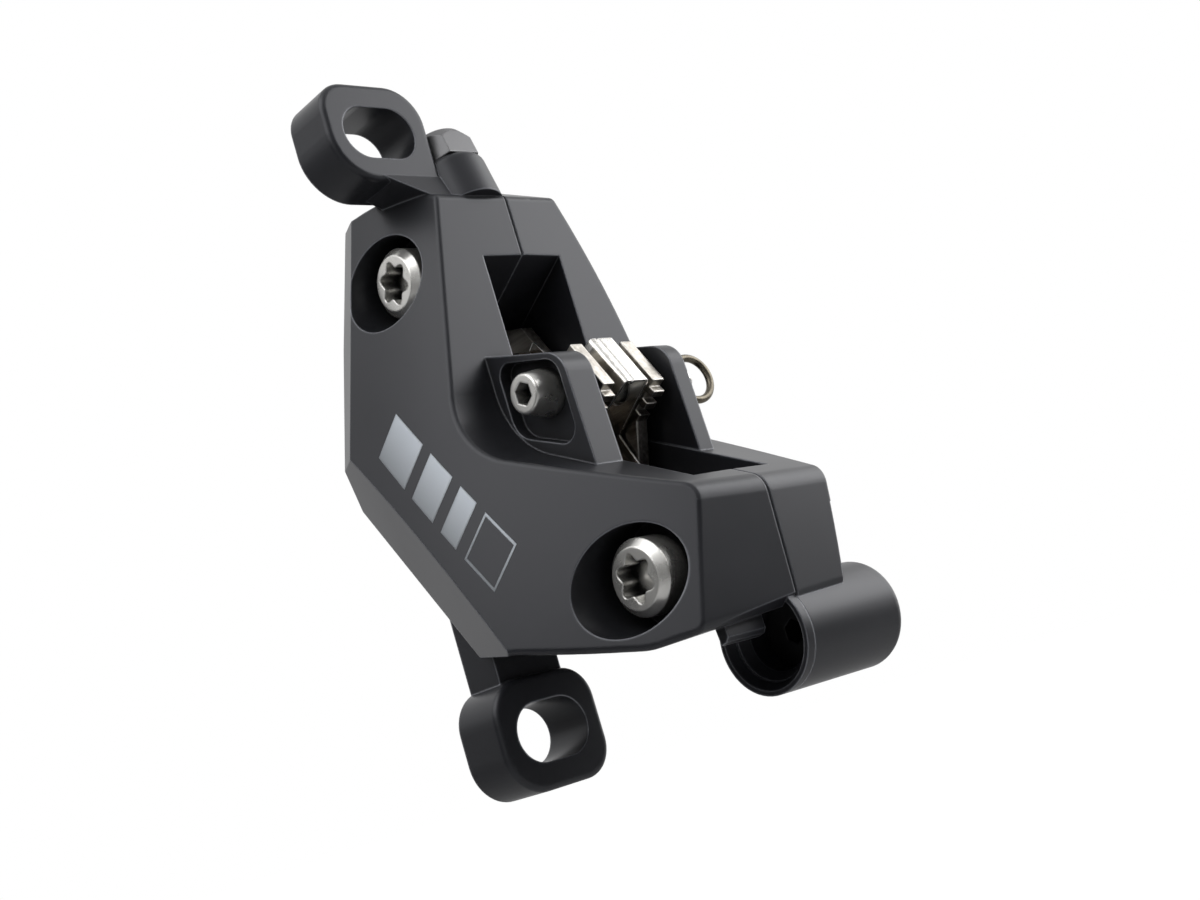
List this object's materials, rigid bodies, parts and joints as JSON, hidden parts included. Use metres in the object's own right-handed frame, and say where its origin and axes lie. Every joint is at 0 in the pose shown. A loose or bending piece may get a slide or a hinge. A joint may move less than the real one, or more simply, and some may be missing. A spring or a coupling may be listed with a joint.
{
  "type": "hydraulic disc brake",
  "caption": "Bicycle disc brake caliper: bolted halves with slotted mounting ears, opposed pistons, pads on a retaining bolt, folded pad spring, hose fitting and bleed port.",
  "frame": {"origin": "on the ears' mounting face, midway between the centres of the two mounting slots", "axes": "+Y out of the mounting faces, towards the frame's posts; +Z from the lower to the upper slot; +X across the rotor, from the outboard to the inboard half"},
  "size_m": [0.0425, 0.048, 0.0872],
  "materials": {
    "body_black": "satin black anodised",
    "bolt_steel": "bright nickel-plated steel",
    "plate_steel": "bare pressed steel",
    "lining": "rough sintered lining",
    "spring_steel": "bright spring steel",
    "ring_steel": "dark oiled steel wire",
    "fitting_grey": "grey anodised",
    "screw_black": "black oxide steel",
    "seal_rubber": "matt rubber",
    "piston_phenolic": "moulded phenolic"
  },
  "bodies": {
    "caliper": {"outboard_body": "body_black", "inboard_body": "body_black", "body_bolt_upper": "bolt_steel", "body_bolt_lower": "bolt_steel", "pad_retaining_bolt": "bolt_steel", "pad_spring": "spring_steel", "hose_fitting": "fitting_grey", "hose_fitting_seal": "seal_rubber", "transfer_port_seal": "seal_rubber", "piston_seal_inboard_lower": "seal_rubber", "piston_seal_inboard_upper": "seal_rubber", "piston_seal_outboard_lower": "seal_rubber", "piston_seal_outboard_upper": "seal_rubber"},
    "outboard_pad": {"outboard_backing_plate": "plate_steel", "outboard_friction_pad": "lining"},
    "inboard_pad": {"inboard_backing_plate": "plate_steel", "inboard_friction_pad": "lining"},
    "retaining_ring": {"safety_ring": "ring_steel"},
    "bleed_valve": {"bleed_screw": "screw_black", "bleed_screw_seal": "seal_rubber"},
    "piston_outboard_upper_body": {"piston_outboard_upper": "piston_phenolic"},
    "piston_outboard_lower_body": {"piston_outboard_lower": "piston_phenolic"},
    "piston_inboard_upper_body": {"piston_inboard_upper": "piston_phenolic"},
    "piston_inboard_lower_body": {"piston_inboard_lower": "piston_phenolic"}
  },
  "joints": [
    {"name": "outboard_pad_slide", "type": "slide", "parent": "caliper", "child": "outboard_pad", "axis": [1, 0, 0], "range_m": [0, 0.0012], "stiffness_N_per_m": 2000, "deforming": ["pad_spring"]},
    {"name": "inboard_pad_slide", "type": "slide", "parent": "caliper", "child": "inboard_pad", "axis": [-1, 0, 0], "range_m": [0, 0.0012]},
    {"name": "piston_outboard_upper_slide", "type": "slide", "parent": "caliper", "child": "piston_outboard_upper_body", "axis": [1, 0, 0], "range_m": [0, 0.0012]},
    {"name": "piston_outboard_lower_slide", "type": "slide", "parent": "caliper", "child": "piston_outboard_lower_body", "axis": [1, 0, 0], "range_m": [0, 0.0012]},
    {"name": "piston_inboard_upper_slide", "type": "slide", "parent": "caliper", "child": "piston_inboard_upper_body", "axis": [-1, 0, 0], "range_m": [0, 0.0012]},
    {"name": "piston_inboard_lower_slide", "type": "slide", "parent": "caliper", "child": "piston_inboard_lower_body", "axis": [-1, 0, 0], "range_m": [0, 0.0012]},
    {"name": "safety_ring_swivel", "type": "hinge", "parent": "caliper", "child": "retaining_ring", "pos_m": [0.028, -0.0158, -0.00015], "axis": [0, 0.0872, 0.9962], "range_deg": [-80, 75]},
    {"name": "bleed_screw_turn", "type": "hinge", "parent": "caliper", "child": "bleed_valve", "pos_m": [0.0227, -0.0289, -0.03465], "axis": [-1, 0, 0], "range_deg": [0, 180]}
  ],
  "couplings": [
    {"joint": "inboard_pad_slide", "follows": "outboard_pad_slide", "ratio": 1},
    {"joint": "piston_outboard_upper_slide", "follows": "outboard_pad_slide", "ratio": 1},
    {"joint": "piston_outboard_lower_slide", "follows": "outboard_pad_slide", "ratio": 1},
    {"joint": "piston_inboard_upper_slide", "follows": "outboard_pad_slide", "ratio": 1},
    {"joint": "piston_inboard_lower_slide", "follows": "outboard_pad_slide", "ratio": 1}
  ]
}
